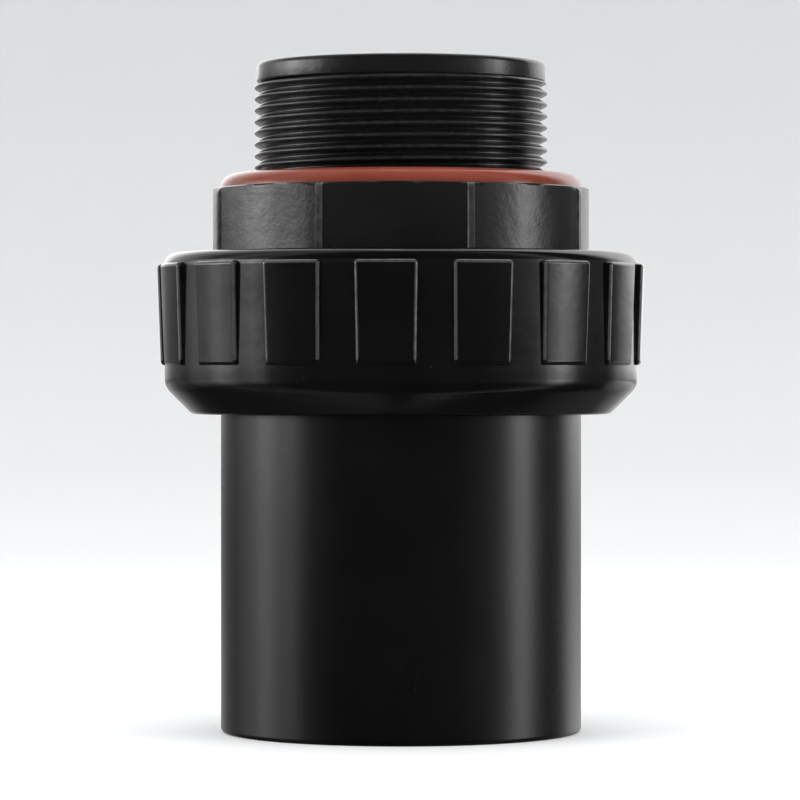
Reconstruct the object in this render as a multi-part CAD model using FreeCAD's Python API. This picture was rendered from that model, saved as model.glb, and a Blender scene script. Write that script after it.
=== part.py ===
import FreeCAD, Part
import math
import os

# Pipe union between a socket for a 63 mm pipe and a 2 inch male pipe thread.
# Millimetres. The axis is +Z, the origin is the centre of the tail's open end, and the thread points up.
# The front of the object faces -Y.

V = FreeCAD.Vector
AXIS = V(0, 0, 1)
ORIGIN = V(0, 0, 0)
FRONT_DEG = -90.0

# How far one solid reaches into or past another where they are joined or cut.
OVERLAP = 1.0

# Tail: a plain tube that the pipe is cemented into, with a flange that the nut pulls on.
PIPE_OD = 63.0
SOCKET_CLEARANCE = 0.15
SOCKET_R = PIPE_OD / 2 + SOCKET_CLEARANCE
SOCKET_DEPTH = 38.0
SOCKET_LEAD = 1.2
TAIL_R = 36.5
TAIL_EDGE_R = 1.0
TAIL_BORE_R = 27.0
FLANGE_R = 39.0
FLANGE_BOTTOM_Z = 68.8
FLANGE_TOP_Z = 74.3
FLANGE_CHAMFER = 0.5

# Union nut, with its lip under the tail's flange.
NUT_BOTTOM_Z = 64.3
NUT_TOP_Z = 96.8
NUT_LIP_CLEARANCE = 0.3
NUT_LIP_BORE_R = TAIL_R + NUT_LIP_CLEARANCE
NUT_LIP_OUTER_EDGE_R = 0.4
NUT_LIP_INNER_EDGE_R = 0.3
NUT_FLANGE_CLEARANCE = 0.6
NUT_FLANGE_ROOM_R = FLANGE_R + NUT_FLANGE_CLEARANCE
NUT_MOUTH_R = 41.4
NUT_MOUTH_EDGE_R = 0.5
NUT_WAIST_R = 47.85
NUT_WAIST_Z = 69.85
NUT_WAIST_BLEND_R = 4.0
NUT_SHOULDER_R = 48.1
NUT_SHOULDER_Z = 93.8
NUT_TOP_R = 48.0
NUT_TOP_BLEND_R = 2.6
NUT_BOTTOM_R = 42.3
NUT_BOTTOM_BLEND_R = 2.0

# Grip pads on the nut.
PAD_COUNT = 16
PAD_PHASE_DEG = -3.4
PAD_BOTTOM_Z = 74.1
PAD_TOP_Z = 94.6
PAD_BOTTOM_R = 48.65
PAD_TOP_R = 49.4
PAD_ROOT_R = 45.0
PAD_BOTTOM_WIDTH = 12.0
PAD_TOP_WIDTH = 12.7
PAD_TOP_CORNER_R = 0.9
PAD_EDGE_R = 0.3

# Threaded end.
END_GAP = 0.3
END_BOTTOM_Z = FLANGE_TOP_Z + END_GAP
END_TOP_Z = 135.4
END_BORE_R = 24.75
END_BORE_CONE_BOTTOM_Z = 93.0
END_BORE_CONE_TOP_Z = 99.0
END_BORE_EDGE_R = 0.5
END_EDGE_R = 1.0
END_TIP_EDGE_R = 0.5
END_TIP_TAPER = 0.5
END_TIP_HEIGHT = 2.0
COLLAR_BOTTOM_Z = 95.0
COLLAR_TOP_Z = 109.9
COLLAR_SIDES = 8
COLLAR_MIDDLE_R = 38.1
COLLAR_BOW_R = 50.0
COLLAR_RIB_R = 39.15
COLLAR_RIB_WIDTH = 1.3
COLLAR_TOP_EDGE_R = 1.6
COLLAR_PHASE_DEG = -1.9
LEAD_IN_R = 29.25
LEAD_IN_BOTTOM_Z = 131.45
LEAD_IN_EDGE_R = 0.35

# Male pipe thread on the threaded end: 2 inch, 11 turns to the inch, 55 degree form.
# Its crests are rounder than the standard form's, which makes them 0.1 mm lower.
INCH = 25.4
PIPE_PITCH = INCH / 11
FLANK_TAN = math.tan(math.radians(27.5))
FLANK_SIN = math.sin(math.radians(27.5))
THREAD_DEPTH = 0.640327 * PIPE_PITCH
SHARP_HEIGHT = 0.960491 * PIPE_PITCH
PIPE_THREAD_R = 59.614 / 2
PIPE_CREST_R = 59.42 / 2
PIPE_ROOT_R = PIPE_THREAD_R - THREAD_DEPTH
PIPE_APEX_R = PIPE_THREAD_R + SHARP_HEIGHT / 6
PIPE_THREAD_BOTTOM_Z = 111.0
PIPE_THREAD_CREST_Z = 121.7
PIPE_THREAD_END_CONE = 2.4
PIPE_THREAD_END_R = 29.2

# Union thread between the nut and the threaded end: same pitch and angle, a size up,
# with room all round so that the turns never touch.
UNION_THREAD_R = 81.534 / 2
UNION_THREAD_BOTTOM_Z = 76.0
UNION_THREAD_TOP_Z = 94.0
UNION_MALE_ALLOWANCE = 0.1
UNION_FEMALE_ROOT_ALLOWANCE = 0.25
UNION_FEMALE_CREST_ALLOWANCE = 0.17
UNION_MALE_ROOT_R = UNION_THREAD_R - THREAD_DEPTH - UNION_MALE_ALLOWANCE
UNION_MALE_CREST_R = UNION_THREAD_R - UNION_MALE_ALLOWANCE
UNION_FEMALE_ROOT_R = UNION_THREAD_R + UNION_FEMALE_ROOT_ALLOWANCE
UNION_FEMALE_CREST_R = UNION_THREAD_R - THREAD_DEPTH + UNION_FEMALE_CREST_ALLOWANCE
UNION_MID_R = UNION_THREAD_R - THREAD_DEPTH / 2
UNION_RIDGE_ALLOWANCE = 0.2
UNION_RIDGE_WIDTH = PIPE_PITCH / 2 - UNION_RIDGE_ALLOWANCE
NUT_THREAD_BOTTOM_Z = 75.2
NUT_THREAD_TOP_Z = 94.3
THREAD_SINK = 0.15
UNION_END_CHAMFER = 1.6

# Seal ring that sits half sunk in the top of the collar.
COLLAR_SEAL_MEAN_R = 33.6
COLLAR_SEAL_SECTION_R = 3.2
COLLAR_SEAL_Z = 109.7
COLLAR_GROOVE_GAP = 0.05

# Seal ring between the tail's flange and the threaded end, squeezed to its working height.
FACE_SEAL_MEAN_R = 32.5
FACE_SEAL_WIDTH = 6.1
FACE_SEAL_HEIGHT = 4.3
FACE_SEAL_CORNER_R = 2.1
FACE_GROOVE_SIDE_GAP = 0.25


def corner_cut(before, corner, after, radius):
    """Start, middle and end of the arc that rounds one corner of an outline."""
    to_before = (before - corner).normalize()
    to_after = (after - corner).normalize()
    half = to_before.getAngle(to_after) / 2
    reach = radius / math.tan(half)
    bisector = (to_before + to_after).normalize()
    centre = corner + bisector * (radius / math.sin(half))
    return corner + to_before * reach, centre - bisector * radius, corner + to_after * reach


def outline(corners, place):
    """Closed face from (u, v, rounding radius) corners. place turns u and v into a point in space."""
    points = [place(u, v) for u, v, radius in corners]
    count = len(points)
    edges = []
    starts = []
    ends = []
    for i, (u, v, radius) in enumerate(corners):
        if radius == 0:
            starts.append(points[i])
            ends.append(points[i])
            continue
        start, middle, end = corner_cut(points[i - 1], points[i], points[(i + 1) % count], radius)
        starts.append(start)
        ends.append(end)
        edges.append(Part.Arc(start, middle, end).toShape())
    for i in range(count):
        edges.append(Part.LineSegment(ends[i], starts[(i + 1) % count]).toShape())
    wire = Part.Wire(Part.__sortEdges__(edges))
    return Part.Face(wire)


def in_section(r, z):
    """Point in the half plane that a turned shape is drawn in."""
    return V(r, 0, z)


def turned(corners):
    """Solid of revolution about the axis from (r, z, rounding radius) corners."""
    return outline(corners, in_section).revolve(ORIGIN, AXIS, 360)


def cylinder(radius, bottom, top):
    return Part.makeCylinder(radius, top - bottom, V(0, 0, bottom))


def turn_about_axis(shape, degrees):
    copy = shape.copy()
    copy.rotate(ORIGIN, AXIS, degrees)
    return copy


def helical_ridge(section, bottom_z, top_z, crest_z):
    """Right-handed ridge with its crest at crest_z on the front, long enough to reach past both ends.

    section holds (r, z) points about the crest's height, and its third point may be the middle of an arc.
    """
    turns = math.ceil((top_z - bottom_z) / PIPE_PITCH) + 2
    turns_below = math.ceil((crest_z - bottom_z) / PIPE_PITCH) + 1
    start_z = crest_z - turns_below * PIPE_PITCH
    path = Part.makeLongHelix(PIPE_PITCH, turns * PIPE_PITCH, section[0][0], 0, False)
    points = [V(r, 0, z) for r, z in section]
    edges = [Part.LineSegment(points[0], points[1]).toShape()]
    if len(points) == 5:
        edges.append(Part.Arc(points[1], points[2], points[3]).toShape())
    else:
        edges.append(Part.LineSegment(points[1], points[2]).toShape())
    edges.append(Part.LineSegment(points[-2], points[-1]).toShape())
    edges.append(Part.LineSegment(points[-1], points[0]).toShape())
    ridge = Part.Wire(path.Edges).makePipeShell([Part.Wire(edges)], True, True)
    ridge.translate(V(0, 0, start_z))
    return turn_about_axis(ridge, FRONT_DEG)


def pipe_section():
    """Ridge section of the pipe thread, with straight flanks and a round crest."""
    round_r = (PIPE_APEX_R - PIPE_CREST_R) / (1 / FLANK_SIN - 1)
    tangent_r = PIPE_CREST_R - round_r + round_r * FLANK_SIN
    tangent_half = (PIPE_APEX_R - tangent_r) * FLANK_TAN
    sunk_r = PIPE_ROOT_R - THREAD_SINK
    sunk_half = (PIPE_APEX_R - sunk_r) * FLANK_TAN
    lower = [(sunk_r, -sunk_half), (tangent_r, -tangent_half)]
    upper = [(tangent_r, tangent_half), (sunk_r, sunk_half)]
    return lower + [(PIPE_CREST_R, 0)] + upper


def union_section(root_r, crest_r):
    """Flat-crested ridge section that is UNION_RIDGE_WIDTH wide at the middle of the thread."""
    outward = 1 if crest_r > root_r else -1
    sunk_r = root_r - outward * THREAD_SINK
    half_mid = UNION_RIDGE_WIDTH / 2
    half_crest = half_mid - abs(crest_r - UNION_MID_R) * FLANK_TAN
    half_sunk = half_mid + abs(sunk_r - UNION_MID_R) * FLANK_TAN
    return [(sunk_r, -half_sunk), (crest_r, -half_crest), (crest_r, half_crest), (sunk_r, half_sunk)]


def make_tail():
    """Socketed tube with the flange at its upper end."""
    return turned([
        (SOCKET_R, SOCKET_LEAD, 0),
        (SOCKET_R + SOCKET_LEAD, 0, 0),
        (TAIL_R, 0, TAIL_EDGE_R),
        (TAIL_R, FLANGE_BOTTOM_Z, 0),
        (FLANGE_R, FLANGE_BOTTOM_Z, 0),
        (FLANGE_R, FLANGE_TOP_Z - FLANGE_CHAMFER, 0),
        (FLANGE_R - FLANGE_CHAMFER, FLANGE_TOP_Z, 0),
        (TAIL_BORE_R, FLANGE_TOP_Z, 0),
        (TAIL_BORE_R, SOCKET_DEPTH, 0),
        (SOCKET_R, SOCKET_DEPTH, 0),
    ])


def make_nut_ring():
    """The nut without its pads and thread."""
    return turned([
        (NUT_LIP_BORE_R, NUT_BOTTOM_Z, NUT_LIP_OUTER_EDGE_R),
        (NUT_BOTTOM_R, NUT_BOTTOM_Z, NUT_BOTTOM_BLEND_R),
        (NUT_WAIST_R, NUT_WAIST_Z, NUT_WAIST_BLEND_R),
        (NUT_SHOULDER_R, NUT_SHOULDER_Z, 0),
        (NUT_TOP_R, NUT_TOP_Z, NUT_TOP_BLEND_R),
        (NUT_MOUTH_R, NUT_TOP_Z, NUT_MOUTH_EDGE_R),
        (NUT_MOUTH_R, NUT_THREAD_TOP_Z, 0),
        (UNION_FEMALE_ROOT_R, NUT_THREAD_TOP_Z, 0),
        (UNION_FEMALE_ROOT_R, NUT_THREAD_BOTTOM_Z, 0),
        (NUT_FLANGE_ROOM_R, NUT_THREAD_BOTTOM_Z, 0),
        (NUT_FLANGE_ROOM_R, FLANGE_BOTTOM_Z, 0),
        (NUT_LIP_BORE_R, FLANGE_BOTTOM_Z, NUT_LIP_INNER_EDGE_R),
    ])


def make_grip_pad():
    """One pad, facing +X: a slice of a cone with rounded upper corners and softened edges."""
    blank = turned([
        (PAD_ROOT_R, PAD_BOTTOM_Z, 0),
        (PAD_BOTTOM_R, PAD_BOTTOM_Z, 0),
        (PAD_TOP_R, PAD_TOP_Z, 0),
        (PAD_ROOT_R, PAD_TOP_Z, 0),
    ])
    face = outline([
        (-PAD_BOTTOM_WIDTH / 2, PAD_BOTTOM_Z, 0),
        (PAD_BOTTOM_WIDTH / 2, PAD_BOTTOM_Z, 0),
        (PAD_TOP_WIDTH / 2, PAD_TOP_Z, PAD_TOP_CORNER_R),
        (-PAD_TOP_WIDTH / 2, PAD_TOP_Z, PAD_TOP_CORNER_R),
    ], lambda across, up: V(PAD_ROOT_R / 2, across, up))
    pad = blank.common(face.extrude(V(PAD_ROOT_R, 0, 0)))
    outer_face = max(pad.Faces, key=lambda f: f.CenterOfMass.x)
    return pad.makeFillet(PAD_EDGE_R, outer_face.Edges)


def make_union_nut():
    pad = make_grip_pad()
    step = 360.0 / PAD_COUNT
    pads = [turn_about_axis(pad, FRONT_DEG + PAD_PHASE_DEG + i * step) for i in range(PAD_COUNT)]
    thread = helical_ridge(union_section(UNION_FEMALE_ROOT_R, UNION_FEMALE_CREST_R),
                           NUT_THREAD_BOTTOM_Z, NUT_THREAD_TOP_Z, NUT_THREAD_BOTTOM_Z + PIPE_PITCH / 2)
    room = cylinder(NUT_WAIST_R, NUT_THREAD_BOTTOM_Z, NUT_THREAD_TOP_Z)
    return make_nut_ring().fuse(pads + [thread.common(room)])


def collar_side(angle):
    """One bowed side of the collar, seen along the axis, with its middle at the given angle."""
    half = math.pi / COLLAR_SIDES
    shift = COLLAR_BOW_R - COLLAR_MIDDLE_R
    corner_r = math.sqrt(COLLAR_BOW_R ** 2 - (shift * math.sin(half)) ** 2) - shift * math.cos(half)
    ends = [V(corner_r * math.cos(a), corner_r * math.sin(a), COLLAR_BOTTOM_Z)
            for a in (angle - half, angle + half)]
    middle = V(COLLAR_MIDDLE_R * math.cos(angle), COLLAR_MIDDLE_R * math.sin(angle), COLLAR_BOTTOM_Z)
    return Part.Arc(ends[0], middle, ends[1]).toShape()


def make_collar():
    """Wrench collar: bowed sides and a narrow rib where two meet, inside a round rounded outline."""
    side = 360.0 / COLLAR_SIDES
    height = COLLAR_TOP_Z - COLLAR_BOTTOM_Z
    first = FRONT_DEG + COLLAR_PHASE_DEG
    sides = [collar_side(math.radians(first + i * side)) for i in range(COLLAR_SIDES)]
    prism = Part.Face(Part.Wire(sides)).extrude(V(0, 0, height))
    rib = Part.makeBox(COLLAR_RIB_R, COLLAR_RIB_WIDTH, height,
                       V(PIPE_ROOT_R, -COLLAR_RIB_WIDTH / 2, COLLAR_BOTTOM_Z))
    ribs = [turn_about_axis(rib, first + (i + 0.5) * side) for i in range(COLLAR_SIDES)]
    envelope = cylinder(COLLAR_RIB_R, COLLAR_BOTTOM_Z, COLLAR_TOP_Z)
    top_face = max(envelope.Faces, key=lambda f: f.CenterOfMass.z)
    envelope = envelope.makeFillet(COLLAR_TOP_EDGE_R, top_face.Edges)
    return prism.fuse(ribs).common(envelope)


def make_end_core():
    """The threaded end's turned core, with its bore, without threads."""
    return turned([
        (END_BORE_R, END_BORE_CONE_TOP_Z, 0),
        (TAIL_BORE_R, END_BORE_CONE_BOTTOM_Z, 0),
        (TAIL_BORE_R, END_BOTTOM_Z, END_TIP_EDGE_R),
        (UNION_MALE_ROOT_R - END_TIP_TAPER, END_BOTTOM_Z, END_TIP_EDGE_R),
        (UNION_MALE_ROOT_R, END_BOTTOM_Z + END_TIP_HEIGHT, 0),
        (UNION_MALE_ROOT_R, COLLAR_BOTTOM_Z + OVERLAP, 0),
        (PIPE_ROOT_R, COLLAR_BOTTOM_Z + OVERLAP, 0),
        (PIPE_ROOT_R, LEAD_IN_BOTTOM_Z, 0),
        (LEAD_IN_R, LEAD_IN_BOTTOM_Z, LEAD_IN_EDGE_R),
        (LEAD_IN_R, END_TOP_Z, END_EDGE_R),
        (END_BORE_R, END_TOP_Z, END_BORE_EDGE_R),
    ])


def make_pipe_thread():
    """The male pipe thread, cut square below and chamfered under the plain lead-in."""
    ridge = helical_ridge(pipe_section(), PIPE_THREAD_BOTTOM_Z, LEAD_IN_BOTTOM_Z, PIPE_THREAD_CREST_Z)
    full_r = PIPE_THREAD_END_R + PIPE_THREAD_END_CONE
    room = turned([
        (0, PIPE_THREAD_BOTTOM_Z, 0),
        (full_r, PIPE_THREAD_BOTTOM_Z, 0),
        (full_r, LEAD_IN_BOTTOM_Z - PIPE_THREAD_END_CONE, 0),
        (PIPE_THREAD_END_R, LEAD_IN_BOTTOM_Z, 0),
        (0, LEAD_IN_BOTTOM_Z, 0),
    ])
    return ridge.common(room)


def make_union_thread():
    """The threaded end's half of the union thread, chamfered at its lower end."""
    ridge = helical_ridge(union_section(UNION_MALE_ROOT_R, UNION_MALE_CREST_R),
                          UNION_THREAD_BOTTOM_Z, UNION_THREAD_TOP_Z, NUT_THREAD_BOTTOM_Z + PIPE_PITCH)
    full_r = UNION_MALE_CREST_R + UNION_END_CHAMFER / 2
    room = turned([
        (0, UNION_THREAD_BOTTOM_Z, 0),
        (UNION_MALE_ROOT_R - UNION_END_CHAMFER / 2, UNION_THREAD_BOTTOM_Z, 0),
        (full_r, UNION_THREAD_BOTTOM_Z + UNION_END_CHAMFER, 0),
        (full_r, UNION_THREAD_TOP_Z, 0),
        (0, UNION_THREAD_TOP_Z, 0),
    ])
    return ridge.common(room)


def make_face_groove():
    """The room for the face seal, open at the end's lower face."""
    inner = FACE_SEAL_MEAN_R - FACE_SEAL_WIDTH / 2 - FACE_GROOVE_SIDE_GAP
    outer = FACE_SEAL_MEAN_R + FACE_SEAL_WIDTH / 2 + FACE_GROOVE_SIDE_GAP
    return turned([
        (inner, END_BOTTOM_Z - OVERLAP, 0),
        (outer, END_BOTTOM_Z - OVERLAP, 0),
        (outer, FLANGE_TOP_Z + FACE_SEAL_HEIGHT, 0),
        (inner, FLANGE_TOP_Z + FACE_SEAL_HEIGHT, 0),
    ])


def make_threaded_end():
    bore = cylinder(PIPE_ROOT_R - OVERLAP, COLLAR_BOTTOM_Z - OVERLAP, COLLAR_TOP_Z + OVERLAP)
    seal_seat = Part.makeTorus(COLLAR_SEAL_MEAN_R, COLLAR_SEAL_SECTION_R + COLLAR_GROOVE_GAP,
                               V(0, 0, COLLAR_SEAL_Z))
    body = make_end_core().fuse([make_collar().cut(bore), make_pipe_thread(), make_union_thread()])
    return body.cut([seal_seat, make_face_groove()])


def make_collar_seal():
    return Part.makeTorus(COLLAR_SEAL_MEAN_R, COLLAR_SEAL_SECTION_R, V(0, 0, COLLAR_SEAL_Z))


def make_face_seal():
    inner = FACE_SEAL_MEAN_R - FACE_SEAL_WIDTH / 2
    outer = FACE_SEAL_MEAN_R + FACE_SEAL_WIDTH / 2
    top = FLANGE_TOP_Z + FACE_SEAL_HEIGHT
    return turned([
        (inner, FLANGE_TOP_Z, FACE_SEAL_CORNER_R),
        (outer, FLANGE_TOP_Z, FACE_SEAL_CORNER_R),
        (outer, top, FACE_SEAL_CORNER_R),
        (inner, top, FACE_SEAL_CORNER_R),
    ])


NODES = {
    "tail": make_tail,
    "union_nut": make_union_nut,
    "threaded_end": make_threaded_end,
    "collar_seal": make_collar_seal,
    "face_seal": make_face_seal,
}

os.makedirs("parts", exist_ok=True)
for name, make in NODES.items():
    shape = make()
    if len(shape.Solids) != 1 or not shape.isValid():
        raise ValueError(f"{name} is not one valid solid")
    shape.Solids[0].exportStep(f"parts/{name}.step")
    print(name, round(shape.Volume), "mm3", len(shape.Faces), "faces")
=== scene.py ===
import math

import bmesh
import bpy
import numpy as np
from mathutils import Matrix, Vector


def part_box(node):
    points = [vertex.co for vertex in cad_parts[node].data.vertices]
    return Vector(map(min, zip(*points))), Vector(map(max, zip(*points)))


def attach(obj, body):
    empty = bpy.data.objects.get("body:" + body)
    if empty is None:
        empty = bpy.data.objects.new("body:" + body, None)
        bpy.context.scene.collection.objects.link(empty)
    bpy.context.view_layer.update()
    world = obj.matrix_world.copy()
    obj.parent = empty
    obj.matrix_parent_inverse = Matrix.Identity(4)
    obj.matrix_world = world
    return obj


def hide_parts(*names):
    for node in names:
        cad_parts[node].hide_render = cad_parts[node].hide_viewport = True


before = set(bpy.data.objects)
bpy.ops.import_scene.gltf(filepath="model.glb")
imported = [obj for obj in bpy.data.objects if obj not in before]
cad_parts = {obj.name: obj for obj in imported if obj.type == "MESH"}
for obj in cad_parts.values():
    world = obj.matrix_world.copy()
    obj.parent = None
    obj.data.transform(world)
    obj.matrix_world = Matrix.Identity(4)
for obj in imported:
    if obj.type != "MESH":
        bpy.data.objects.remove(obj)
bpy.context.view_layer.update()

# Lengths below are in millimetres, and MM turns them into metres. Angles are in degrees.
# The axis is +Z, the front of the object faces -Y, and z is 0 at the tail's open end.
MM = 0.001
FRONT_DEG = -90.0
TAIL_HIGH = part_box("tail")[1] / MM
NUT_LOW, NUT_HIGH = (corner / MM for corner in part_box("union_nut"))
END_LOW, END_HIGH = (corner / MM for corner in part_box("threaded_end"))
RING_LOW, RING_HIGH = (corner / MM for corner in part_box("collar_seal"))
FACE_LOW, FACE_HIGH = (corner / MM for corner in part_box("face_seal"))
SKIN = 0.01          # how far the finished surfaces stay inside the CAD ones

# Tail.
FLANGE_R = TAIL_HIGH.x - SKIN
FLANGE_TOP_Z = TAIL_HIGH.z
FLANGE_BOTTOM_Z = FLANGE_TOP_Z - 5.5
TAIL_R = 36.5
TAIL_BORE_R = 27.0
SOCKET_R = 31.65
SOCKET_DEPTH = 38.0
SOCKET_LEAD = 1.2

# Union nut.
NUT_BOTTOM_Z = NUT_LOW.z
NUT_TOP_Z = NUT_HIGH.z
NUT_LIP_BORE_R = 36.8
NUT_ROOM_R = 39.6
NUT_MOUTH_R = 41.4
NUT_BOTTOM_R = 42.3
NUT_WAIST_R = 47.85
NUT_WAIST_Z = NUT_BOTTOM_Z + 5.55
NUT_WAIST_BLEND_R = 4.0
NUT_SHOULDER_R = 48.1
NUT_SHOULDER_Z = NUT_TOP_Z - 3.0
NUT_TOP_R = 48.0
NUT_TOP_BLEND_R = 2.6
NUT_THREAD_BOTTOM_Z = NUT_BOTTOM_Z + 10.9
NUT_THREAD_TOP_Z = NUT_TOP_Z - 2.5
PAD_COUNT = 16
PAD_PHASE_DEG = -3.4
PAD_TOP_R = NUT_HIGH.x - SKIN
PAD_BOTTOM_R = PAD_TOP_R - 0.75
PAD_TOP_Z = NUT_TOP_Z - 2.2
PAD_BOTTOM_Z = PAD_TOP_Z - 20.5
PAD_TOP_WIDTH = 12.7
PAD_BOTTOM_WIDTH = 12.0
PAD_TOP_CORNER_R = 0.9
PAD_BOTTOM_CORNER_R = 0.3
PAD_WALL = 0.06      # how far the side wall leans over its height
PAD_ROUND = 0.75     # rounding of the pad's face into its walls
PAD_HIGHLIGHT_INSET = 0.42      # the middle of the line of wear and painted highlight along a pad's edge, and its size
PAD_HIGHLIGHT_REACH = 0.24
PAD_HIGHLIGHT_FADE = 0.12
PAD_UNLIT_EDGE_HEIGHT = 1.0    # a pad's lower edge faces down into shade and gets no wear or painted highlight

# Threaded end.
END_BOTTOM_Z = END_LOW.z
END_TOP_Z = END_HIGH.z
END_BORE_R = 24.75
END_CONE_LOW_Z = 93.0
END_CONE_HIGH_Z = 99.0
COLLAR_BOTTOM_Z = 95.0
COLLAR_TOP_Z = END_TOP_Z - 25.5
COLLAR_SIDES = 8
COLLAR_MIDDLE_R = 38.1      # each side's middle, from the axis
COLLAR_BOW_R = 50.0         # radius each side is bowed to
COLLAR_RIB_R = 39.15        # the narrow rib where two sides meet
COLLAR_RIB_WIDTH = 1.3
# wear and painted highlight on the edges and tops of the collar's ribs
RIB_EDGE_WEAR_HIGHLIGHT = 0.5
RIB_TOP_WEAR_HIGHLIGHT = 0.25
COLLAR_TOP_EDGE_R = 1.6
COLLAR_LOW_EDGE_R = 0.35
COLLAR_PHASE_DEG = -1.9
LEAD_IN_R = 29.25
LEAD_IN_BOTTOM_Z = END_TOP_Z - 3.95
END_COLUMNS = 384    # points round each of the end's rings, which all start on a rib
END_FIRST_DEG = FRONT_DEG + COLLAR_PHASE_DEG - 180.0 / COLLAR_SIDES

# Threads: 11 turns to the inch, 55 degree form, right-handed.
PITCH = 25.4 / 11
FLANK = math.radians(27.5)
THREAD_DEPTH = 0.640327 * PITCH
THREAD_CREST_WEAR_HIGHLIGHT = 0.08         # how strong the wear and painted highlight on the crests are, and how far down from them it reaches
THREAD_HIGHLIGHT_DEPTH = 1 / 6
PIPE_APEX_R = (59.614 + 0.960491 * PITCH / 3) / 2
PIPE_CREST_R = 59.42 / 2 - SKIN
PIPE_ROOT_R = 59.614 / 2 - THREAD_DEPTH
PIPE_THREAD_BOTTOM_Z = 111.0
PIPE_THREAD_END_R = 29.2
PIPE_CREST_Z = 121.7
UNION_R = 81.534 / 2
UNION_MID_R = UNION_R - THREAD_DEPTH / 2
UNION_MALE_ROOT_R = UNION_R - THREAD_DEPTH - 0.1
UNION_MALE_CREST_R = UNION_R - 0.1 - SKIN
UNION_FEMALE_ROOT_R = UNION_R + 0.25
UNION_FEMALE_CREST_R = UNION_R - THREAD_DEPTH + 0.17
UNION_RIDGE = PITCH / 2 - 0.2
UNION_THREAD_BOTTOM_Z = 76.0
UNION_THREAD_TOP_Z = 94.0
UNION_END_CHAMFER = 1.6

# Seals.
RING_SECTION_R = (RING_HIGH.z - RING_LOW.z) / 2 - SKIN
RING_MEAN_R = RING_HIGH.x - SKIN - RING_SECTION_R
RING_Z = (RING_HIGH.z + RING_LOW.z) / 2
RING_SEAT_R = RING_SECTION_R + 0.05
FACE_INNER_R = FACE_HIGH.x - 6.1
FACE_GROOVE_GAP = 0.25

SHARP_EDGE_DEG = 38.0
MERGE_MM = 0.002


# ---- meshes ----

def rounded(corners, steps=5):
    """(r, z) points of an outline whose (r, z, rounding radius) corners are turned into arcs."""
    points = []
    spots = [np.array(c[:2], float) for c in corners]
    for i, (r, z, radius) in enumerate(corners):
        if radius == 0:
            points.append((r, z))
            continue
        back = spots[i - 1] - spots[i]
        ahead = spots[(i + 1) % len(spots)] - spots[i]
        back /= np.linalg.norm(back)
        ahead /= np.linalg.norm(ahead)
        half = math.acos(float(back @ ahead)) / 2
        middle = (back + ahead) / np.linalg.norm(back + ahead)
        centre = spots[i] + middle * radius / math.sin(half)
        start = spots[i] + back * radius / math.tan(half) - centre
        end = spots[i] + ahead * radius / math.tan(half) - centre
        for step in range(steps + 1):
            way = start * (1 - step / steps) + end * step / steps
            points.append(tuple(centre + way / np.linalg.norm(way) * radius))
    return points


def even_angles(count, first_deg=FRONT_DEG):
    return np.radians(first_deg) + np.arange(count) * 2 * math.pi / count


class Ring:
    """A row of points round the axis, with its share of wear and painted highlight at each point, from 0
    to 1.

    Its last point joins the first point of the row that lies ahead rows further on, which is 0 for a
    plain ring and one turn of rows for a thread.
    """

    def __init__(self, angles, radius, z, wear_and_highlight=0.0, ahead=0):
        self.angles = angles
        self.radius = np.broadcast_to(radius, angles.shape).astype(float)
        self.z = np.broadcast_to(z, angles.shape).astype(float)
        self.wear_and_highlight = np.broadcast_to(wear_and_highlight, angles.shape).astype(float)
        self.ahead = ahead

    def points(self):
        across = self.radius * np.cos(self.angles)
        along = self.radius * np.sin(self.angles)
        return np.stack([across, along, self.z], axis=1) * MM


def plain_rings(angles, points):
    return [Ring(angles, r, z) for r, z in points]


def shell(name, rings):
    """Closed mesh through the rings, which run up the outside, in over the top and down the bore."""
    count = len(rings[0].angles)
    points = np.concatenate([one.points() for one in rings])
    row = np.arange(count)
    faces = []
    for i, one in enumerate(rings):
        j = (i + 1) % len(rings)
        low = i * count + row
        high = j * count + row
        low_next = np.append(low[1:], (i + one.ahead) * count)
        high_next = np.append(high[1:], (j + rings[j].ahead) * count)
        faces.append(np.stack([low, low_next, high_next, high], axis=1))
    mesh = bpy.data.meshes.new(name)
    mesh.from_pydata(points.tolist(), [], np.concatenate(faces).tolist())
    # each point's share of wear and painted highlight, which the materials lighten
    wear_and_highlight = mesh.attributes.new("wear_and_highlight", "FLOAT", "POINT")
    wear_and_highlight.data.foreach_set("value", np.concatenate([one.wear_and_highlight for one in rings]))
    work = bmesh.new()
    work.from_mesh(mesh)
    bmesh.ops.remove_doubles(work, verts=work.verts, dist=MERGE_MM * MM)
    bmesh.ops.dissolve_degenerate(work, edges=work.edges, dist=MERGE_MM * MM)
    stray = [corner for corner in work.verts if not corner.link_faces]
    bmesh.ops.delete(work, geom=stray, context="VERTS")
    work.to_mesh(mesh)
    work.free()
    mesh.shade_smooth()
    mesh.set_sharp_from_angle(angle=math.radians(SHARP_EDGE_DEG))
    piece = bpy.data.objects.new(name, mesh)
    bpy.context.scene.collection.objects.link(piece)
    return piece


def place_piece(piece, node, body, material):
    """The piece takes the place of a CAD node and moves with its body."""
    piece.data.materials.append(material)
    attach(piece, body)
    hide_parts(node)


# ---- threads ----

def pipe_form():
    """(height, depth under the crest) points over one pitch, with round crests and roots."""
    depth = PIPE_CREST_R - PIPE_ROOT_R
    crest_round = (PIPE_APEX_R - PIPE_CREST_R) / (1 / math.sin(FLANK) - 1)
    root_round = 0.137329 * PITCH
    points = []
    for turn in np.linspace(-1, 1, 7) * (math.pi / 2 - FLANK):
        points.append((crest_round * math.sin(turn), crest_round * (1 - math.cos(turn))))
    for turn in np.linspace(-1, 1, 7) * (math.pi / 2 - FLANK):
        points.append((PITCH / 2 + root_round * math.sin(turn), depth - root_round * (1 - math.cos(turn))))
    middle_z = (points[6][0] + points[7][0]) / 2
    middle_depth = (points[6][1] + points[7][1]) / 2
    points.insert(7, (middle_z, middle_depth))
    points.append((PITCH - middle_z, middle_depth))
    return points


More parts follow.
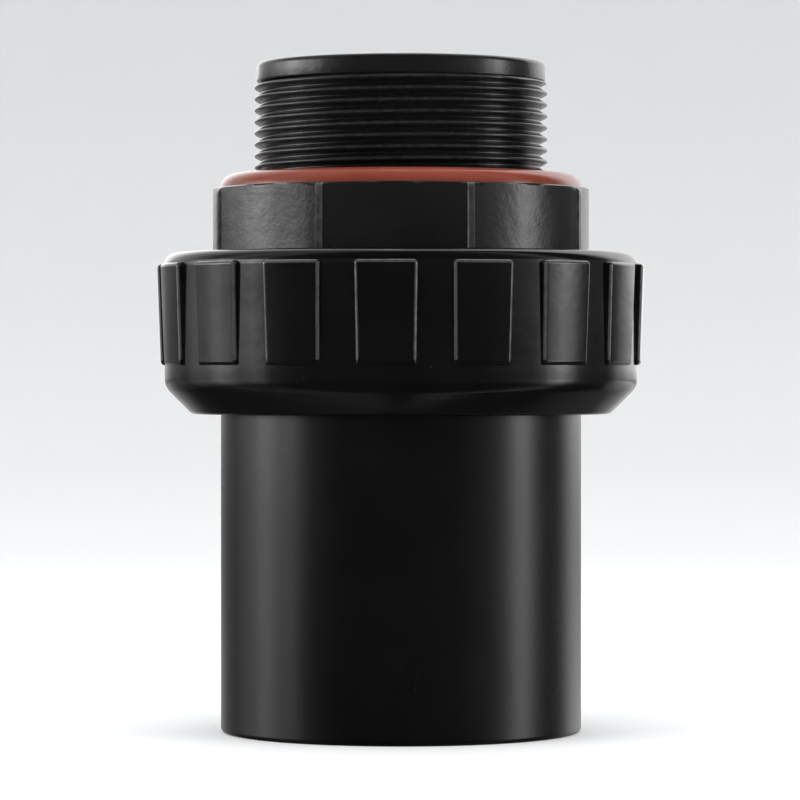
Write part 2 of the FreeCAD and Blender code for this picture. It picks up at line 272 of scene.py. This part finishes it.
def union_form(crest_r, root_r):
    """(height, depth under the crest) points over one pitch, with a flat crest."""
    depth = abs(crest_r - root_r)
    half_crest = UNION_RIDGE / 2 - abs(crest_r - UNION_MID_R) * math.tan(FLANK)
    half_root = half_crest + depth * math.tan(FLANK)
    nick = 0.08
    return [
        (-half_crest, nick),
        (-half_crest + nick, 0),
        (half_crest - nick, 0),
        (half_crest, nick),
        ((half_crest + half_root) / 2, depth / 2),
        (half_root, depth),
        ((half_root + PITCH - half_root) / 2, depth),
        (PITCH - half_root, depth),
        (PITCH - (half_crest + half_root) / 2, depth / 2),
    ]


def thread_rings(angles, form, crest_r, inward, bottom_z, top_z, crest_z):
    """Rings that climb with the thread and stop in a plane at both ends.

    inward is -1 for a male thread, whose depth is taken off the crest's radius, and 1 for a female one.
    crest_z is the height of a crest on the front.
    """
    climb = (angles - math.radians(FRONT_DEG)) / (2 * math.pi) * PITCH
    form_z = np.array([z for z, depth in form])
    form_depth = np.array([depth for z, depth in form])
    first = math.floor((bottom_z - crest_z) / PITCH) - 2
    last = math.ceil((top_z - crest_z) / PITCH) + 2
    total = (last + 1 - first) * len(form)
    rings = []
    for turn in range(first, last + 1):
        for height in form_z:
            z = np.clip(crest_z + turn * PITCH + height + climb, bottom_z, top_z)
            phase = (z - crest_z - climb - form_z[0]) % PITCH + form_z[0]
            depth = np.interp(phase, form_z, form_depth, period=PITCH)
            ahead = min(len(form), total - 1 - len(rings))
            # crests lightened with wear and a painted highlight line
            wear_and_highlight = THREAD_CREST_WEAR_HIGHLIGHT * np.clip(1 - depth / THREAD_HIGHLIGHT_DEPTH, 0, 1)
            rings.append(Ring(angles, crest_r + inward * depth, z, wear_and_highlight, ahead))
    return rings


def limited(rings, least_r, limit):
    """The rings with their radius held under limit(z), but never under least_r."""
    for one in rings:
        one.radius = np.maximum(np.minimum(one.radius, limit(one.z)), np.minimum(one.radius, least_r))
    return rings


def reversed_rings(rings):
    rings = rings[::-1]
    for one in rings:
        one.ahead = -one.ahead
    return rings


# ---- tail ----

def make_tail():
    angles = even_angles(256)
    points = rounded([
        (SOCKET_R + SOCKET_LEAD, 0, 0.15),
        (TAIL_R - SKIN, 0, 1.0),
        (TAIL_R - SKIN, FLANGE_BOTTOM_Z, 0.0),
        (FLANGE_R, FLANGE_BOTTOM_Z, 0.2),
        (FLANGE_R, FLANGE_TOP_Z, 0.5),
        (TAIL_BORE_R, FLANGE_TOP_Z, 0.3),
        (TAIL_BORE_R, SOCKET_DEPTH, 0.3),
        (SOCKET_R, SOCKET_DEPTH, 0.3),
        (SOCKET_R, SOCKET_LEAD, 0.3),
    ])
    return shell("tail_moulding", plain_rings(angles, points))


# ---- union nut ----

def nut_outline():
    """(r, z) points of the nut's outside, from the lip's bore to the mouth, without the pads."""
    return rounded([
        (NUT_LIP_BORE_R, NUT_BOTTOM_Z, 0.4),
        (NUT_BOTTOM_R, NUT_BOTTOM_Z, 2.0),
        (NUT_WAIST_R - SKIN, NUT_WAIST_Z, NUT_WAIST_BLEND_R),
        (NUT_SHOULDER_R - SKIN, NUT_SHOULDER_Z, 0),
        (NUT_TOP_R - SKIN, NUT_TOP_Z, NUT_TOP_BLEND_R),
        (NUT_MOUTH_R, NUT_TOP_Z, 0.5),
        (NUT_MOUTH_R, NUT_THREAD_TOP_Z, 0),
    ], steps=8)


def edge_offsets():
    """Distances in from a pad's edge where the mesh needs a line, for its wall, rounding and face."""
    arc = [PAD_WALL + PAD_ROUND * (1 - math.cos(math.radians(turn))) for turn in (22.5, 45, 67.5, 90)]
    return [-0.6, -0.2, 0.0, PAD_WALL] + arc + [1.0, 1.25, 1.6]


def pad_columns():
    """Angles for each ring: a function of the pad's half width there, in millimetres."""
    inside = edge_offsets()
    share = [-0.66, -0.33, 0.0, 0.33, 0.66]
    step = 2 * math.pi / PAD_COUNT
    first = math.radians(FRONT_DEG + PAD_PHASE_DEG)
    reach = max(inside)

    def angles_at(half_width, radius):
        left = [-(half_width - d) for d in inside]
        middle = [s * (half_width - reach) for s in share]
        right = [half_width - d for d in reversed(inside)]
        local = np.array(left + middle + right) / radius
        gap = (local[-1] + np.array([0.3, 0.5, 0.7]) * (step + local[0] - local[-1]))
        sector = np.concatenate([local, gap])
        return np.concatenate([first + i * step + sector for i in range(PAD_COUNT)])

    return angles_at


def pad_drop(inside):
    """How far the pad's surface lies under its face at a distance in from the pad's foot."""
    rounding = np.clip(inside - PAD_WALL, 0, PAD_ROUND)
    arc = PAD_ROUND - np.sqrt(np.maximum(PAD_ROUND ** 2 - (PAD_ROUND - rounding) ** 2, 0))
    steep = np.clip((PAD_WALL - inside) / PAD_WALL, 0, None) * PAD_TOP_CORNER_R * 4
    return arc + steep


def pad_inside(across, z, half_width):
    """Distance in from the pad's outline, whose upper corners are rounder than its lower ones."""
    to_side = half_width - np.abs(across)
    to_top = PAD_TOP_Z - z
    to_bottom = z - PAD_BOTTOM_Z
    result = np.minimum(to_side, np.minimum(to_top, to_bottom))
    for to_end, radius in ((to_top, PAD_TOP_CORNER_R), (to_bottom, PAD_BOTTOM_CORNER_R)):
        in_corner = (to_side < radius) & (to_end < radius)
        round_off = radius - np.hypot(radius - to_side, radius - to_end)
        result = np.where(in_corner, round_off, result)
    return result


def make_nut():
    angles_at = pad_columns()
    outside = nut_outline()
    shoulder = next(i for i, (r, z) in enumerate(outside) if z >= NUT_SHOULDER_Z - MERGE_MM)
    below = [p for p in outside[:shoulder] if p[1] < PAD_BOTTOM_Z - 1]
    body_z = [p[1] for p in outside[:-2]]
    body_r = [p[0] for p in outside[:-2]]
    inside = edge_offsets()
    heights = [PAD_BOTTOM_Z + d for d in inside] + [PAD_TOP_Z - d for d in inside]
    heights += list(np.linspace(PAD_BOTTOM_Z + 3, PAD_TOP_Z - 3, 6))
    crown = [p for p in outside[shoulder:] if p[1] > PAD_TOP_Z + 0.7 or p[0] < NUT_SHOULDER_R - 1.5]
    heights += [z for r, z in outside[shoulder:] if z <= PAD_TOP_Z + 0.7 and r > NUT_SHOULDER_R - 1.5]
    half_low = PAD_BOTTOM_WIDTH / 2
    half_high = PAD_TOP_WIDTH / 2
    plain_low = angles_at(half_low, PAD_BOTTOM_R)
    plain_high = angles_at(half_high, PAD_TOP_R)
    rings = plain_rings(plain_low, below)
    step = 2 * math.pi / PAD_COUNT
    for z in sorted(set(heights)):
        share = np.clip((z - PAD_BOTTOM_Z) / (PAD_TOP_Z - PAD_BOTTOM_Z), 0, 1)
        half_width = half_low + share * (half_high - half_low)
        face_r = PAD_BOTTOM_R + share * (PAD_TOP_R - PAD_BOTTOM_R)
        angles = angles_at(half_width, face_r)
        local = (angles - math.radians(FRONT_DEG + PAD_PHASE_DEG) + step / 2) % step - step / 2
        inset = pad_inside(local * face_r, z, half_width)
        # a line of wear and painted highlight along the pad's edges, left off the lower edge, which is in
        # shade
        wear_and_highlight = np.clip((PAD_HIGHLIGHT_REACH - np.abs(inset - PAD_HIGHLIGHT_INSET)) / PAD_HIGHLIGHT_FADE, 0, 1)
        wear_and_highlight *= z > PAD_BOTTOM_Z + PAD_UNLIT_EDGE_HEIGHT
        radius = np.maximum(np.interp(z, body_z, body_r), face_r - pad_drop(inset))
        rings.append(Ring(angles, radius, z, wear_and_highlight))
    rings += plain_rings(plain_high, crown)
    form = union_form(UNION_FEMALE_CREST_R, UNION_FEMALE_ROOT_R)
    bore = thread_rings(plain_high, form, UNION_FEMALE_CREST_R, 1, NUT_THREAD_BOTTOM_Z, NUT_THREAD_TOP_Z,
                        NUT_THREAD_BOTTOM_Z + PITCH / 2)
    rings += reversed_rings(bore)
    rings += plain_rings(plain_high, rounded([
        (NUT_ROOM_R, NUT_THREAD_BOTTOM_Z, 0),
        (NUT_ROOM_R, FLANGE_BOTTOM_Z, 0.2),
        (NUT_LIP_BORE_R, FLANGE_BOTTOM_Z, 0.3),
        (NUT_LIP_BORE_R, NUT_BOTTOM_Z + 1, 0),
    ]))
    return shell("union_nut_moulding", rings)


# ---- threaded end ----

def collar_local(angles):
    """Angle of each point from the middle of the side it is on."""
    side = 2 * math.pi / COLLAR_SIDES
    return (angles - math.radians(FRONT_DEG + COLLAR_PHASE_DEG) + side / 2) % side - side / 2


def end_angles():
    """Angles for all the end's rings, with more of them where the collar's ribs rise."""
    side = 2 * math.pi / COLLAR_SIDES
    half = COLLAR_RIB_WIDTH / 2
    near = np.array([0.0, half - 0.15, half - 0.05, half + 0.05, half + 0.15, half + 0.3]) / COLLAR_RIB_R
    between = END_COLUMNS // COLLAR_SIDES - 2 * len(near) + 1
    middle = np.linspace(near[-1], side - near[-1], between + 2)[1:-1]
    local = np.concatenate([near, middle, side - near[:0:-1]])
    first = math.radians(END_FIRST_DEG)
    return np.concatenate([first + i * side + local for i in range(COLLAR_SIDES)])


def collar_outline(angles):
    """The collar's radius at each angle, and how far each point is up a rib, from 0 to 1."""
    local = collar_local(angles)
    shift = COLLAR_BOW_R - COLLAR_MIDDLE_R
    across = shift * np.cos(local)
    side_r = np.sqrt(across ** 2 + COLLAR_BOW_R ** 2 - shift ** 2) - across
    from_rib = (math.pi / COLLAR_SIDES - np.abs(local)) * COLLAR_RIB_R
    up_rib = np.clip((COLLAR_RIB_WIDTH / 2 + 0.1 - from_rib) / 0.2, 0, 1)
    return side_r + (COLLAR_RIB_R - side_r) * up_rib, up_rib


def collar_rings(angles):
    """The collar's outside: bowed sides and ribs, cut to a round outline with rounded edges."""
    outline_r, up_rib = collar_outline(angles)
    # the ribs' edges and tops get wear and a painted highlight
    rib_edge = np.clip(1 - np.abs(up_rib - 0.5) * 2, 0, 1)
    wear_and_highlight = RIB_EDGE_WEAR_HIGHLIGHT * rib_edge + RIB_TOP_WEAR_HIGHLIGHT * up_rib
    profile = rounded([
        (UNION_MALE_ROOT_R, COLLAR_BOTTOM_Z, 0),
        (COLLAR_RIB_R, COLLAR_BOTTOM_Z, COLLAR_LOW_EDGE_R),
        (COLLAR_RIB_R, COLLAR_TOP_Z, COLLAR_TOP_EDGE_R),
        (PIPE_ROOT_R, COLLAR_TOP_Z, 0),
    ])[1:-1]
    middle_z = (COLLAR_BOTTOM_Z + COLLAR_TOP_Z) / 2
    low = [point for point in profile if point[1] < middle_z]
    high = [point for point in profile if point[1] > middle_z]
    between = [(COLLAR_RIB_R, z) for z in np.linspace(low[-1][1], high[0][1], 8)[1:-1]]
    return [Ring(angles, np.minimum(r, outline_r) - SKIN, z, wear_and_highlight) for r, z in low + between + high]


def seat_rings(angles):
    """The half-round seat for the ring seal, from its outer edge to its inner one."""
    rise = COLLAR_TOP_Z - RING_Z
    half = math.acos(-rise / RING_SEAT_R)
    rings = []
    for turn in np.linspace(half, -half, 15):
        r = RING_MEAN_R + RING_SEAT_R * math.sin(turn)
        rings.append(Ring(angles, r, RING_Z - RING_SEAT_R * math.cos(turn)))
    return rings


def make_end():
    angles = end_angles()
    groove_in = FACE_INNER_R - FACE_GROOVE_GAP
    groove_out = FACE_HIGH.x + FACE_GROOVE_GAP
    rings = plain_rings(angles, rounded([
        (TAIL_BORE_R, END_BOTTOM_Z + 1, 0),
        (TAIL_BORE_R, END_BOTTOM_Z, 0.3),
        (groove_in, END_BOTTOM_Z, 0.15),
        (groove_in, FACE_HIGH.z, 0.2),
        (groove_out, FACE_HIGH.z, 0.2),
        (groove_out, END_BOTTOM_Z, 0.15),
        (UNION_MALE_ROOT_R - 0.5, END_BOTTOM_Z, 0.4),
        (UNION_MALE_ROOT_R - 0.1, UNION_THREAD_BOTTOM_Z, 0),
    ]))
    union = thread_rings(angles, union_form(UNION_MALE_CREST_R, UNION_MALE_ROOT_R), UNION_MALE_CREST_R,
                         -1, UNION_THREAD_BOTTOM_Z, UNION_THREAD_TOP_Z, NUT_THREAD_BOTTOM_Z + PITCH)
    cone_r = UNION_MALE_ROOT_R - UNION_END_CHAMFER / 2
    rings += limited(union, UNION_MALE_ROOT_R, lambda z: cone_r + (z - UNION_THREAD_BOTTOM_Z) * 1.5)
    rings.append(Ring(angles, UNION_MALE_ROOT_R, UNION_THREAD_TOP_Z))
    rings.append(Ring(angles, UNION_MALE_ROOT_R, COLLAR_BOTTOM_Z))
    seat = seat_rings(angles)
    rings += collar_rings(angles)
    rings += seat
    rings += plain_rings(angles, [(PIPE_ROOT_R, COLLAR_TOP_Z), (PIPE_ROOT_R, PIPE_THREAD_BOTTOM_Z)])
    pipe = thread_rings(angles, pipe_form(), PIPE_CREST_R, -1, PIPE_THREAD_BOTTOM_Z, LEAD_IN_BOTTOM_Z,
                        PIPE_CREST_Z)
    rings += limited(pipe, PIPE_ROOT_R, lambda z: PIPE_THREAD_END_R + LEAD_IN_BOTTOM_Z - z)
    rings += plain_rings(angles, rounded([
        (PIPE_ROOT_R, LEAD_IN_BOTTOM_Z, 0),
        (LEAD_IN_R, LEAD_IN_BOTTOM_Z, 0.35),
        (LEAD_IN_R, END_TOP_Z, 1.0),
        (END_BORE_R, END_TOP_Z, 0.5),
        (END_BORE_R, END_CONE_HIGH_Z, 1.0),
        (TAIL_BORE_R, END_CONE_LOW_Z, 1.0),
        (TAIL_BORE_R, END_BOTTOM_Z + 1, 0),
    ]))
    return shell("threaded_end_moulding", rings)


# ---- seals ----

def make_ring_seal():
    """Moulded ring with a fine flash line round its widest and narrowest places."""
    angles = even_angles(256)
    points = []
    for turn in np.radians(np.arange(48) * 7.5):
        flash = 0.05 * abs(math.cos(turn)) ** 400
        r = RING_SECTION_R - 0.05 + flash
        points.append((RING_MEAN_R + r * math.cos(turn), RING_Z + r * math.sin(turn)))
    return shell("collar_seal_ring", plain_rings(angles, points))


def make_face_seal():
    angles = even_angles(192)
    outer = FACE_HIGH.x - SKIN
    points = rounded([
        (FACE_INNER_R, FACE_LOW.z, 2.1),
        (outer, FACE_LOW.z, 2.1),
        (outer, FACE_HIGH.z, 2.1),
        (FACE_INNER_R, FACE_HIGH.z, 2.1),
    ], steps=8)
    return shell("face_seal_ring", plain_rings(angles, points))


# ---- materials ----

def node(tree, kind, inputs=(), **settings):
    """New node with its settings and its input values or links."""
    made = tree.nodes.new(kind)
    for key, value in settings.items():
        setattr(made, key, value)
    for key, value in dict(inputs).items():
        if isinstance(value, bpy.types.NodeSocket):
            tree.links.new(value, made.inputs[key])
        else:
            made.inputs[key].default_value = value
    return made


def noise(tree, place, scale, detail=2.0, roughness=0.5):
    return node(tree, "ShaderNodeTexNoise", {"Vector": place, "Scale": scale, "Detail": detail,
                                             "Roughness": roughness}).outputs["Fac"]


def remap(tree, value, low, high, to_low, to_high):
    return node(tree, "ShaderNodeMapRange", {"Value": value, "From Min": low, "From Max": high,
                                             "To Min": to_low, "To Max": to_high}).outputs["Result"]


def maths(tree, operation, first, second):
    return node(tree, "ShaderNodeMath", {0: first, 1: second}, operation=operation).outputs[0]


def blend_colour(tree, share, low, high):
    mixed = node(tree, "ShaderNodeMix", {0: share, 6: low, 7: high}, data_type="RGBA")
    return mixed.outputs[2]


def moulded(name, dark, light, scuffed_highlight, gloss, waviness, mottle, grain, burnish):
    """Moulded plastic or rubber with colour clouds, dust, worn edges with painted highlight, waviness,
    grain and uneven gloss.
    """
    material = bpy.data.materials.new(name)
    material.use_nodes = True
    tree = material.node_tree
    shader = tree.nodes["Principled BSDF"]
    place = node(tree, "ShaderNodeTexCoord").outputs["Object"]
    clouds = noise(tree, place, 60.0, 4.0, 0.6)
    colour = blend_colour(tree, remap(tree, clouds, 0.3, 0.7, 0.0, 1.0), dark, light)
    specks = node(tree, "ShaderNodeTexVoronoi", {"Vector": place, "Scale": 420.0}).outputs["Distance"]
    dust = remap(tree, specks, 0.0, 0.07, 0.5, 0.0)
    thin = remap(tree, noise(tree, place, 180.0), 0.56, 0.6, 0.0, 1.0)
    dust = maths(tree, "MULTIPLY", dust, thin)
    colour = blend_colour(tree, dust, colour, DUST)
    # wear mask, partly painted highlight: lightens the colour and turns metallic by burnish
    wear_highlight = node(tree, "ShaderNodeAttribute", attribute_name="wear_and_highlight").outputs["Fac"]
    patchy = remap(tree, noise(tree, place, 500.0, 3.0, 0.7), 0.35, 0.65, 0.25, 0.9)
    edge = maths(tree, "MULTIPLY", wear_highlight, patchy)
    colour = blend_colour(tree, edge, colour, scuffed_highlight)
    tree.links.new(maths(tree, "MULTIPLY", edge, burnish), shader.inputs["Metallic"])
    tree.links.new(colour, shader.inputs["Base Color"])
    upright = node(tree, "ShaderNodeMapping", {"Vector": place, "Scale": (1.0, 1.0, 0.35)}).outputs[0]
    smears = noise(tree, upright, 45.0, 5.0, 0.65)
    tree.links.new(remap(tree, smears, 0.3, 0.75, gloss[0], gloss[1]), shader.inputs["Roughness"])
    wave = noise(tree, place, 38.0, 1.0)
    fine = noise(tree, place, 1500.0, 3.0)
    bump = node(tree, "ShaderNodeBump", {"Height": wave, "Strength": waviness, "Distance": 0.001})
    dents = noise(tree, place, 240.0, 2.0)
    bump = node(tree, "ShaderNodeBump", {"Height": dents, "Strength": mottle, "Distance": 0.0001,
                                         "Normal": bump.outputs[0]})
    bump = node(tree, "ShaderNodeBump", {"Height": fine, "Strength": grain, "Distance": 0.0001,
                                         "Normal": bump.outputs[0]})
    tree.links.new(bump.outputs[0], shader.inputs["Normal"])
    shader.inputs["IOR"].default_value = 1.5
    shader.inputs["Specular IOR Level"].default_value = 0.5
    return material


# ---- studio ----

def reflected_light():
    """What glossy surfaces see by azimuth: a softbox on each side, and a pale wall behind the object.

    Azimuth 0 is towards the camera, and positive is to the right. Values are radiance.
    """
    return [
        (-180, 0.9), (-160, 0.7), (-146, 0.35), (-128, 0.3), (-116, 0.9), (-106, 1.2), (-97, 3.0),
        (-90, 2.2), (-83, 1.2), (-74, 2.0), (-66, 0.4), (-55, 0.15), (-40, 0.06), (0, 0.05),
        (36, 0.08), (52, 0.22), (66, 0.5), (74, 1.4), (83, 5.0), (90, 2.6), (94, 0.4),
        (106, 0.15), (122, 0.18), (130, 1.1), (142, 1.6), (158, 1.1), (180, 0.9),
    ]


def softbox_height():
    """How the left and the right softbox change with the height they are seen at, as (sine, factor)."""
    left = [(-0.1, 0.7), (-0.082, 0.7), (-0.07, 0.5), (-0.045, 0.4), (-0.015, 0.62), (0.0, 1.0),
            (0.015, 0.95), (0.035, 1.3), (0.07, 2.6), (0.1, 2.6)]
    right = [(-0.1, 0.8), (-0.082, 0.7), (-0.072, 0.43), (-0.05, 0.43), (-0.012, 0.7), (0.0, 1.35),
             (0.018, 1.35), (0.035, 0.8), (0.07, 1.3), (0.1, 1.3)]
    return left, right


def curve(tree, value, stops):
    """Straight lines through the (value, result) stops, as a node output."""
    low, high = stops[0][0], stops[-1][0]
    top = max(result for place, result in stops)
    ramp = node(tree, "ShaderNodeValToRGB", {"Fac": remap(tree, value, low, high, 0.0, 1.0)})
    marks = ramp.color_ramp.elements
    marks.remove(marks[1])
    marks[0].position = 0.0
    marks[0].color = (stops[0][1] / top,) * 3 + (1.0,)
    for place, result in stops[1:]:
        marks.new((place - low) / (high - low)).color = (result / top,) * 3 + (1.0,)
    return maths(tree, "MULTIPLY", ramp.outputs[0], top)


def make_world():
    world = bpy.data.worlds.new("studio")
    bpy.context.scene.world = world
    world.use_nodes = True
    tree = world.node_tree
    direction = node(tree, "ShaderNodeTexCoord").outputs["Generated"]
    parts = node(tree, "ShaderNodeSeparateXYZ", {0: direction})
    forward = maths(tree, "MULTIPLY", parts.outputs["Y"], -1.0)
    azimuth = maths(tree, "ARCTAN2", parts.outputs["X"], forward)
    stops = [(math.radians(place), value) for place, value in reflected_light()]
    strips = curve(tree, azimuth, stops)
    up = parts.outputs["Z"]
    left, right = softbox_height()
    on_right = maths(tree, "GREATER_THAN", azimuth, 0.0)
    height = blend_colour(tree, on_right, curve(tree, up, left), curve(tree, up, right))
    turned = maths(tree, "ABSOLUTE", azimuth, 0.0)
    behind = remap(tree, turned, math.radians(118), math.radians(132), 0.0, 1.0)
    under_top = maths(tree, "MAXIMUM", remap(tree, up, 0.2, 0.4, 1.0, 0.1), behind)
    over_floor = remap(tree, up, -0.45, -0.1, 0.1, 1.0)
    light = maths(tree, "MULTIPLY", strips, maths(tree, "MULTIPLY", under_top, over_floor))
    light = maths(tree, "MULTIPLY", light, height)
    camera = node(tree, "ShaderNodeLightPath").outputs["Is Camera Ray"]
    seen = blend_colour(tree, camera, light, (0.80, 0.81, 0.82, 1.0))
    background = tree.nodes["Background"]
    tree.links.new(seen, background.inputs["Color"])
    background.inputs["Strength"].default_value = 1.0


def make_stage():
    """A pale floor that turns up into a wall all round. Gloss sees the world's strips, not the floor."""
    floor_r = 2600.0
    bend_r = 1800.0
    wall_z = 3000.0
    outline = [(1.0, 0.0), (300.0, 0.0), (floor_r - bend_r, 0.0)]
    for turn in range(10, 91, 10):
        angle = math.radians(turn)
        outline.append((floor_r - bend_r + bend_r * math.sin(angle), bend_r * (1 - math.cos(angle))))
    outline.append((floor_r, wall_z))
    count = 96
    rings = plain_rings(even_angles(count), outline)
    points = np.concatenate([one.points() for one in rings])
    faces = [list(range(count))]
    for i in range(len(rings) - 1):
        for j in range(count):
            k = (j + 1) % count
            faces.append([i * count + j, i * count + k, (i + 1) * count + k, (i + 1) * count + j])
    mesh = bpy.data.meshes.new("floor")
    mesh.from_pydata(points.tolist(), [], faces)
    mesh.shade_smooth()
    floor = bpy.data.objects.new("floor", mesh)
    bpy.context.scene.collection.objects.link(floor)
    material = bpy.data.materials.new("floor_paper")
    material.use_nodes = True
    shader = material.node_tree.nodes["Principled BSDF"]
    shader.inputs["Base Color"].default_value = (0.78, 0.785, 0.79, 1.0)
    shader.inputs["Roughness"].default_value = 0.9
    shader.inputs["Emission Color"].default_value = (0.97, 0.985, 1.0, 1.0)
    shader.inputs["Emission Strength"].default_value = 0.15
    mesh.materials.append(material)
    floor.visible_glossy = False


def soft_light(name, place, size, power):
    light = bpy.data.lights.new(name, "AREA")
    light.shape = "DISK"
    light.size = size
    light.energy = power
    holder = bpy.data.objects.new(name, light)
    bpy.context.scene.collection.objects.link(holder)
    holder.location = place
    aim = -holder.location
    holder.rotation_euler = aim.to_track_quat("-Z", "Y").to_euler()
    holder.visible_glossy = False
    holder.visible_camera = False


def make_camera():
    """Level, in front of the object, with the horizon a little above the middle of the picture."""
    distance = 0.850
    eye_z = 0.0732
    lower = 0.0375       # shares of the picture's width that it is shifted by
    left = 0.00125
    data = bpy.data.cameras.new("camera")
    data.sensor_width = 36.0
    data.lens = 188.55
    data.shift_y = -lower
    data.shift_x = -left
    camera = bpy.data.objects.new("camera", data)
    bpy.context.scene.collection.objects.link(camera)
    camera.location = (0, -distance, eye_z)
    camera.rotation_euler = (math.radians(90), 0, 0)
    bpy.context.scene.camera = camera


make_camera()
make_world()
make_stage()
soft_light("overhead", (0.0, -0.1, 1.3), 1.2, 12.0)
soft_light("left_fill", (-1.0, -0.5, 0.9), 0.8, 6.0)
soft_light("right_fill", (1.0, -0.5, 0.9), 0.8, 5.0)
bpy.context.scene.view_settings.view_transform = "Standard"

BLACK = (0.0022, 0.0022, 0.0024, 1.0)
BLACK_LIGHTER = (0.0036, 0.0036, 0.0039, 1.0)
DUSTY = (0.005, 0.005, 0.0053, 1.0)
DUSTY_LIGHTER = (0.008, 0.008, 0.0084, 1.0)
# colour of worn edges and crests, partly a painted highlight
SCUFFED_HIGHLIGHT = (0.20, 0.20, 0.205, 1.0)
RED = (0.165, 0.032, 0.018, 1.0)
RED_LIGHTER = (0.20, 0.043, 0.026, 1.0)
RED_SCUFFED_HIGHLIGHT = (0.36, 0.12, 0.08, 1.0)
SOOT = (0.012, 0.012, 0.012, 1.0)
SOOT_LIGHTER = (0.02, 0.02, 0.02, 1.0)
DUST = (0.10, 0.10, 0.105, 1.0)
nut_plastic = moulded("nut_black", BLACK, BLACK_LIGHTER, SCUFFED_HIGHLIGHT, (0.09, 0.16), 0.35, 0.3, 0.05, 1.0)
end_plastic = moulded("end_black", DUSTY, DUSTY_LIGHTER, SCUFFED_HIGHLIGHT, (0.18, 0.28), 0.30, 0.8, 0.25, 0.75)
tail_plastic = moulded("tail_black", BLACK, BLACK_LIGHTER, SCUFFED_HIGHLIGHT, (0.23, 0.29), 0.15, 0.2, 0.10, 0.96)
red_rubber = moulded("seal_red", RED, RED_LIGHTER, RED_SCUFFED_HIGHLIGHT, (0.16, 0.26), 0.1, 0.2, 0.2, 0.0)
black_rubber = moulded("seal_black", SOOT, SOOT_LIGHTER, SCUFFED_HIGHLIGHT, (0.45, 0.6), 0.1, 0.2, 0.3, 0.0)

place_piece(make_tail(), "tail", "tail", tail_plastic)
place_piece(make_nut(), "union_nut", "nut", nut_plastic)
place_piece(make_end(), "threaded_end", "threaded_end", end_plastic)
place_piece(make_ring_seal(), "collar_seal", "threaded_end", red_rubber)
place_piece(make_face_seal(), "face_seal", "threaded_end", black_rubber)
